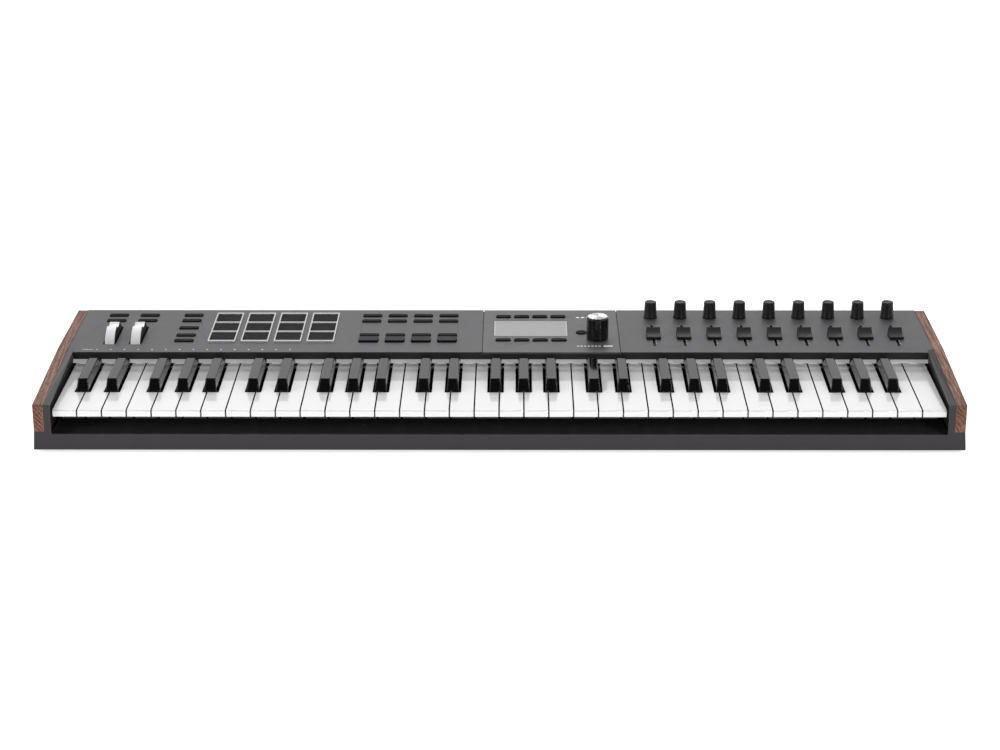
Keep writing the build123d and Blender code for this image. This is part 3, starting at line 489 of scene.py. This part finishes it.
def add_printing():
    """Fifteen dots over the low keys and plain dashes where a panel carries its marks."""
    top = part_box("top_panel")[1].z
    keys_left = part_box("keys_c")[0].x
    encoder_x, encoder_y = middle_of("encoder_knob")
    row_y = 5.4 * MM
    dot_count = 15
    dot_radius = 0.75 * MM
    first_dot = keys_left + 21.6 * MM

    def build(shape):
        for i in range(dot_count):
            disc(shape, first_dot + i * OCTAVE / 12, row_y, top, dot_radius, PRINT_HEIGHT)
        dashes(shape, keys_left + 7.5 * MM, keys_left + 17.9 * MM, row_y, 1.1 * MM, 5, top)
        mark_y = encoder_y - 22 * MM
        dashes(shape, encoder_x - 21 * MM, encoder_x + 4 * MM, mark_y, 2.2 * MM, 7, top)
        slab(shape, (encoder_x + 5.5 * MM, mark_y - 1.7 * MM, top),
             (encoder_x + 14.5 * MM, mark_y + 1.7 * MM, top + PRINT_HEIGHT))
        dashes(shape, encoder_x - 20 * MM, encoder_x + 12 * MM, encoder_y + 65 * MM, 3.0 * MM, 6, top)

    add_piece("panel_printing", build, MATERIALS["print_white"], "case")


def add_encoder_cap():
    """Silver disc set in the black rim of the encoder knob."""
    low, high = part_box("encoder_knob")
    centre = middle_of("encoder_knob")
    radius = (high.x - low.x) / 2 - 1.3 * MM
    top = high.z
    profile = [
        (radius - 0.05 * MM, top - 0.5 * MM),
        (radius, top - 0.1 * MM),
        (radius - 0.15 * MM, top + 0.12 * MM),
        (radius - 0.45 * MM, top + 0.20 * MM),
        (radius - 0.80 * MM, top + 0.14 * MM),
        (0, top + 0.08 * MM),
    ]
    silver = turned("encoder_silver", (0.86, 0.86, 0.87), 0.24, centre)
    add_piece("encoder_cap", lambda shape: lathe(shape, profile, centre, 96), silver,
              "encoder_knob")


def add_knob(number):
    """Tapered knob with a small skirt and a shallow dish in its top, hollow below."""
    node = f"knob_{number}"
    low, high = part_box(node)
    centre = middle_of(node)
    radius = (high.x - low.x) / 2
    top = high.z
    foot = top - 17.1 * MM
    ceiling = foot + 5.0 * MM
    outside = [
        (0, ceiling),
        (0.66 * radius, ceiling),
        (0.66 * radius, foot),
        (0.96 * radius, foot),
        (radius, foot + 0.3 * MM),
        (radius, foot + 1.3 * MM),
        (0.965 * radius, foot + 1.7 * MM),
        (0.86 * radius, top - 1.3 * MM),
        (0.84 * radius, top - 0.6 * MM),
        (0.80 * radius, top - 0.15 * MM),
        (0.74 * radius, top),
        (0.68 * radius, top - 0.12 * MM),
        (0.62 * radius, top - 0.35 * MM),
        (0, top - 0.45 * MM),
    ]
    shaft = [(0, low.z), (3.0 * MM, low.z), (3.0 * MM, ceiling + MM), (0, ceiling + MM)]

    def build(shape):
        lathe(shape, outside, centre, 72)
        lathe(shape, shaft, centre, 32)

    piece = add_piece(node + "_fine", build, MATERIALS["knob_plastic"], node)
    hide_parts(node)


def add_fader_cap(number):
    """Finger cap whose hollow top falls from a high rear crest to a low front edge."""
    node = f"fader_{number}"
    low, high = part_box(node)
    x, y = middle_of(node)
    half_width, half_depth = (high.x - low.x) / 2, (high.y - low.y) / 2
    bottom = high.z - 8.0 * MM
    front_height, crest_height = 2.6 * MM, 8.0 * MM
    sag, dish = 1.5 * MM, 0.3 * MM
    columns, rows = 12, 14

    def build(shape):
        grid = []
        for row in range(rows + 1):
            along = row / rows
            rise = front_height + (crest_height - front_height) * along
            rise -= sag * 4 * along * (1 - along)
            row_y = y + half_depth * (-0.96 + 1.80 * along)
            line = []
            for column in range(columns + 1):
                across = 2 * column / columns - 1
                height = bottom + rise - dish * (1 - across ** 4)
                line.append(shape.verts.new((x + 0.90 * half_width * across, row_y, height)))
            grid.append(line)
        for near, far in zip(grid, grid[1:]):
            for i in range(columns):
                shape.faces.new((near[i], near[i + 1], far[i + 1], far[i]))
        rim = grid[0] + [line[-1] for line in grid[1:-1]] + grid[-1][::-1]
        rim += [line[0] for line in grid[-2:0:-1]]
        foot = []
        for vertex in rim:
            foot_x = x + (vertex.co.x - x) / 0.92
            foot_y = y + (vertex.co.y - y) * (1.03 if vertex.co.y < y else 1.10)
            foot.append(shape.verts.new((foot_x, foot_y, bottom)))
        for i, vertex in enumerate(rim):
            j = (i + 1) % len(rim)
            shape.faces.new((vertex, foot[i], foot[j], rim[j]))
        shape.faces.new(foot)
        slab(shape, (x - 0.8 * MM, y - 3 * MM, low.z), (x + 0.8 * MM, y + 3 * MM, bottom))

    piece = add_piece(node + "_fine", build, MATERIALS["fader_plastic"], node)
    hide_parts(node)
    round_edges(piece, 0.45)


def add_fader_marks():
    """Two pale dots beside the slot of each fader."""
    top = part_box("top_panel")[1].z

    def build(shape):
        for number in STRIPS:
            x, y = middle_of(f"fader_{number}")
            for distance in (10.4 * MM, 18.0 * MM):
                disc(shape, x + 2.1 * MM, y - distance, top, 0.5 * MM, PRINT_HEIGHT, 12)

    add_piece("fader_marks", build, MATERIALS["print_white"], "case")


def add_display_border():
    """Paler edge round the display window."""
    low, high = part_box("display_window")
    width = 1.3 * MM

    def build(shape):
        z0, z1 = high.z - 0.01 * MM, high.z + 0.06 * MM
        slab(shape, (low.x, low.y, z0), (high.x, low.y + width, z1))
        slab(shape, (low.x, high.y - width, z0), (high.x, high.y, z1))
        slab(shape, (low.x, low.y + width, z0), (low.x + width, high.y - width, z1))
        slab(shape, (high.x - width, low.y + width, z0), (high.x, high.y - width, z1))

    pale = surface("display_border_pale", (0.44, 0.43, 0.44), 0.35, 2 * MM, 0.001 * MM, edge_highlight=1.0)
    add_piece("display_border", build, pale, "case")


def add_stop_felts():
    """One felt pad for each white key on the front face of the key stop bar."""
    low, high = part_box("keys_c")
    side_gap = 0.7 * MM
    keys_left, keys_right = low.x - side_gap, high.x + side_gap
    pitch = (keys_right - keys_left) / WHITE_KEYS
    margin = 1.0 * MM
    deck_top, bar_front = 17.0 * MM, -80.0 * MM
    near, far = bar_front - 0.9 * MM, bar_front + 0.1 * MM
    bottom, top = deck_top + 0.3 * MM, deck_top + 7.0 * MM

    def build(shape):
        for i in range(WHITE_KEYS):
            left = keys_left + i * pitch + margin
            slab(shape, (left, near, bottom), (left + pitch - 2 * margin, far, top))

    # Faint glow: painted light so the felts show in the shade under the keys.
    felt = surface("stop_felt", (0.24, 0.23, 0.24), 0.85, 0.5 * MM, 0.08 * MM, edge_highlight=1.8,
                   Emission_Color=(1, 1, 1, 1), Emission_Strength=0.022)
    piece = add_piece("stop_felts", build, felt, "case")
    round_edges(piece, 0.4)


def add_feet():
    """Round feet with a rounded edge and a hollow middle."""
    low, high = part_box("rubber_feet")
    radius = 9.0 * MM
    profile = [
        (0, high.z),
        (radius, high.z),
        (radius, 0.9 * MM),
        (radius - 0.3 * MM, 0.3 * MM),
        (radius - 1.0 * MM, 0),
        (radius - 2.6 * MM, 0),
        (radius - 3.0 * MM, 0.6 * MM),
        (0, 0.6 * MM),
    ]
    x_places = (low.x + radius, 0, high.x - radius)
    y_places = (low.y + radius, high.y - radius)

    def build(shape):
        for x in x_places:
            for y in y_places:
                lathe(shape, profile, (x, y), 48)

    piece = add_piece("feet_fine", build, MATERIALS["foot_rubber"], "case")
    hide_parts("rubber_feet")


def add_rear_details():
    """Ring nuts round the pedal jacks, and pins in the two round five-pin sockets."""
    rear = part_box("base_tray")[1].y
    jack_low, jack_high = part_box("pedal_jacks")
    din_low, din_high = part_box("midi_sockets")
    socket_z = (jack_low.z + jack_high.z) / 2
    nut = [(3.35, 0), (5.7, 0), (5.7, 0.9), (5.3, 1.3), (3.8, 1.3), (3.35, 0.9), (3.35, 0)]
    nut = [(radius * MM, height * MM) for radius, height in nut]
    pin = [(0, 0), (0.6 * MM, 0), (0.6 * MM, 4.6 * MM), (0.3 * MM, 5.0 * MM), (0, 5.0 * MM)]
    pin_circle = 4.2 * MM
    recess_floor = rear - 9.0 * MM

    def build_nuts(shape):
        first, last = jack_low.x + 8 * MM, jack_high.x - 8 * MM
        for x in (first, (first + last) / 2, last):
            lathe_to_rear(shape, nut, (x, rear, socket_z))

    def build_pins(shape):
        for x in (din_low.x + 10 * MM, din_high.x - 10 * MM):
            for i in range(5):
                angle = math.radians(180 + 45 * i)
                pin_x = x + pin_circle * math.cos(angle)
                pin_z = socket_z + pin_circle * math.sin(angle)
                lathe_to_rear(shape, pin, (pin_x, recess_floor, pin_z), 16)

    add_piece("jack_nuts", build_nuts, MATERIALS["zinc"], "case")
    add_piece("socket_pins", build_pins, MATERIALS["steel"], "case")


# ------------------------------------------------------------------ camera, light and floor
CAMERA_PLACE = (0.017, -2.1511, 0.8358)
CAMERA_DOWN_DEG = 20.49
CAMERA_TURN_DEG = 0.452
CAMERA_ROLL_DEG = -0.12
LENS_MM = 83.12


def add_camera():
    camera = bpy.data.objects.new("camera", bpy.data.cameras.new("camera"))
    camera.data.lens = LENS_MM
    camera.data.sensor_width = 36.0
    camera.location = CAMERA_PLACE
    camera.rotation_euler = (math.radians(90 - CAMERA_DOWN_DEG), 0, math.radians(CAMERA_TURN_DEG))
    camera.rotation_euler.rotate_axis("Z", math.radians(CAMERA_ROLL_DEG))
    bpy.context.scene.collection.objects.link(camera)
    bpy.context.scene.camera = camera


def add_area_light(name, place, size, power):
    """Softbox that looks at the middle of the case."""
    lamp = bpy.data.lights.new(name, "AREA")
    lamp.shape = "RECTANGLE"
    lamp.size, lamp.size_y = size
    lamp.energy = power
    light = bpy.data.objects.new(name, lamp)
    light.location = place
    light.rotation_euler = (-Vector(place)).to_track_quat("-Z", "Y").to_euler()
    bpy.context.scene.collection.objects.link(light)


def add_world():
    """White surroundings behind and above, dark ones in front."""
    world = bpy.data.worlds.new("studio")
    world.use_nodes = True
    tree = world.node_tree
    direction = tree.nodes.new("ShaderNodeTexCoord")
    split = tree.nodes.new("ShaderNodeSeparateXYZ")
    fade = tree.nodes.new("ShaderNodeMapRange")
    fade.interpolation_type = "SMOOTHSTEP"
    limits = {"From Min": -0.50, "From Max": -0.10, "To Min": 0.05, "To Max": 1.0}
    for name, value in limits.items():
        fade.inputs[name].default_value = value
    background = tree.nodes["Background"]
    background.inputs["Color"].default_value = (1, 1, 1, 1)
    tree.links.new(direction.outputs["Generated"], split.inputs[0])
    tree.links.new(split.outputs["Y"], fade.inputs["Value"])
    tree.links.new(fade.outputs["Result"], background.inputs["Strength"])
    bpy.context.scene.world = world


def add_floor():
    floor_mesh = bpy.data.meshes.new("floor")
    half = 30.0
    corners = [(-half, -half, 0), (half, -half, 0), (half, half, 0), (-half, half, 0)]
    floor_mesh.from_pydata(corners, [], [(0, 1, 2, 3)])
    floor = bpy.data.objects.new("floor", floor_mesh)
    bpy.context.scene.collection.objects.link(floor)
    paper = surface("floor_paper", (0.85, 0.85, 0.85), 0.8, 4 * MM, 0.01 * MM, mottle=0.01, edge_highlight=1.0,
                    Emission_Color=(1, 1, 1, 1), Emission_Strength=0.70)
    floor_mesh.materials.append(paper)


def add_studio():
    add_world()
    add_floor()
    add_area_light("back_light", (-0.2, 1.6, 1.6), (1.6, 0.4), 14)
    add_area_light("right_light", (1.30, -2.0, 1.30), (0.35, 1.2), 17)
    add_area_light("left_light", (-1.9, -1.3, 0.8), (0.4, 1.4), 12)
    bpy.context.scene.view_settings.view_transform = "Standard"


dress_cad_nodes()
add_printing()
add_encoder_cap()
for number in STRIPS:
    add_knob(number)
    add_fader_cap(number)
add_fader_marks()
add_display_border()
add_stop_felts()
add_feet()
add_rear_details()
add_camera()
add_studio()
